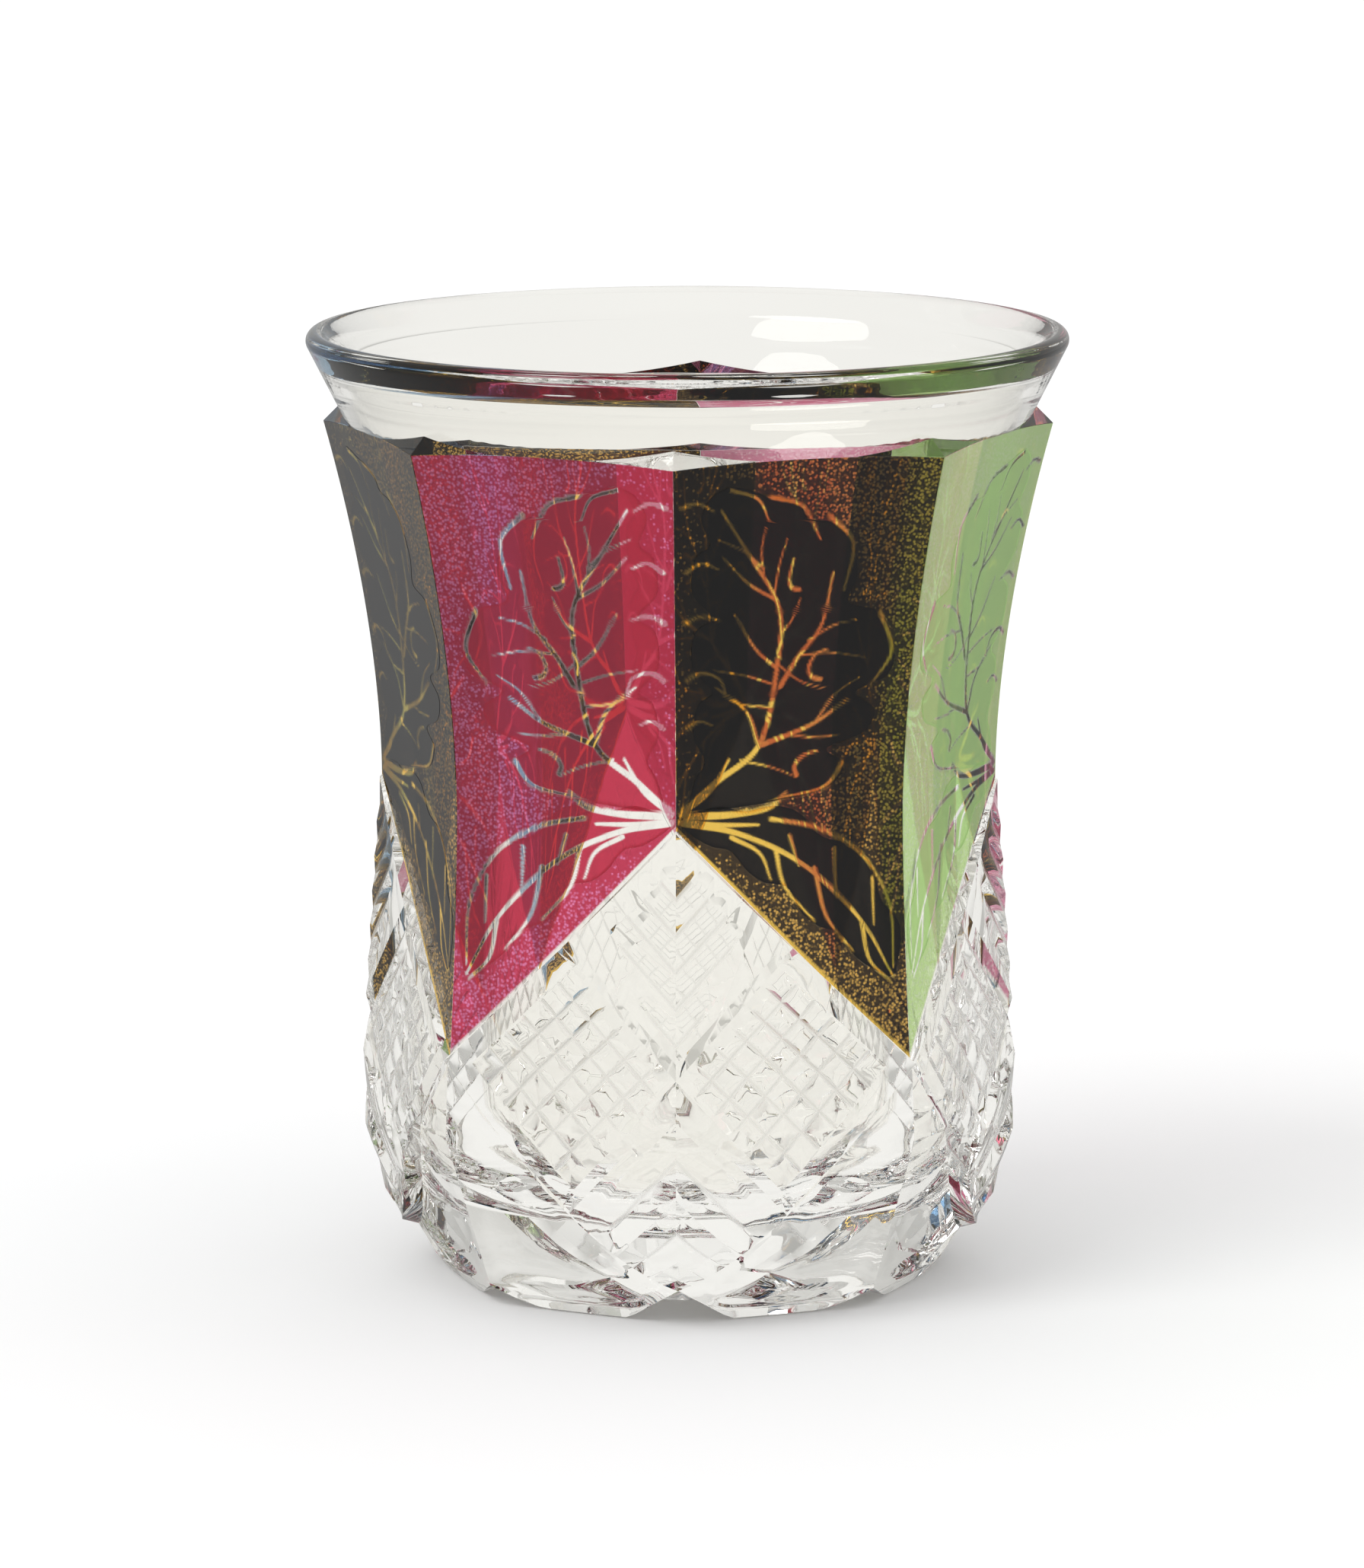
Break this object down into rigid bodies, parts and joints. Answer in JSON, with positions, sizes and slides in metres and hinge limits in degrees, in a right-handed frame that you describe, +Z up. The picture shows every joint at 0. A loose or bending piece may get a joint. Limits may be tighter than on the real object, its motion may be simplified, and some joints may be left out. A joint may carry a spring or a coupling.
{
  "type": "cut-glass beaker",
  "caption": "Waisted footed drinking beaker of thick cut glass with a flared lip, coloured stain panels with leaves, raised lozenge fields and a lens-cut scalloped foot.",
  "frame": {"origin": "middle of the footprint, on the surface that the foot stands on", "axes": "+Z up along the beaker's axis; -Y towards the front edge between two panels; +X to its right"},
  "size_m": [0.0916, 0.0916, 0.115],
  "materials": {
    "clear_glass": "polished colourless crystal with cut and polished facets",
    "black_stain": "transparent fired black stain with a stippled ground",
    "black_leaf": "smooth fired black stain with scraped veins",
    "green_stain": "transparent fired green stain with a stippled ground",
    "green_leaf": "smooth fired green stain with scraped veins",
    "rose_stain": "transparent fired rose stain with a stippled ground",
    "rose_leaf": "smooth fired rose stain with scraped veins",
    "blue_stain": "transparent fired blue stain with a stippled ground",
    "blue_leaf": "smooth fired blue stain with scraped veins",
    "ruby_stain": "transparent fired ruby stain with a stippled ground",
    "ruby_leaf": "smooth fired ruby stain with scraped veins"
  },
  "bodies": {
    "root": {"glass_body": "clear_glass", "panel_black_front": "black_stain", "leaf_upper_black_front": "black_leaf", "leaf_lower_black_front": "black_leaf", "panel_green": "green_stain", "leaf_upper_green": "green_leaf", "leaf_lower_green": "green_leaf", "panel_black_right": "black_stain", "leaf_upper_black_right": "black_leaf", "leaf_lower_black_right": "black_leaf", "panel_rose": "rose_stain", "leaf_upper_rose": "rose_leaf", "leaf_lower_rose": "rose_leaf", "panel_black_back": "black_stain", "leaf_upper_black_back": "black_leaf", "leaf_lower_black_back": "black_leaf", "panel_blue": "blue_stain", "leaf_upper_blue": "blue_leaf", "leaf_lower_blue": "blue_leaf", "panel_black_left": "black_stain", "leaf_upper_black_left": "black_leaf", "leaf_lower_black_left": "black_leaf", "panel_ruby": "ruby_stain", "leaf_upper_ruby": "ruby_leaf", "leaf_lower_ruby": "ruby_leaf"}
  },
  "joints": []
}
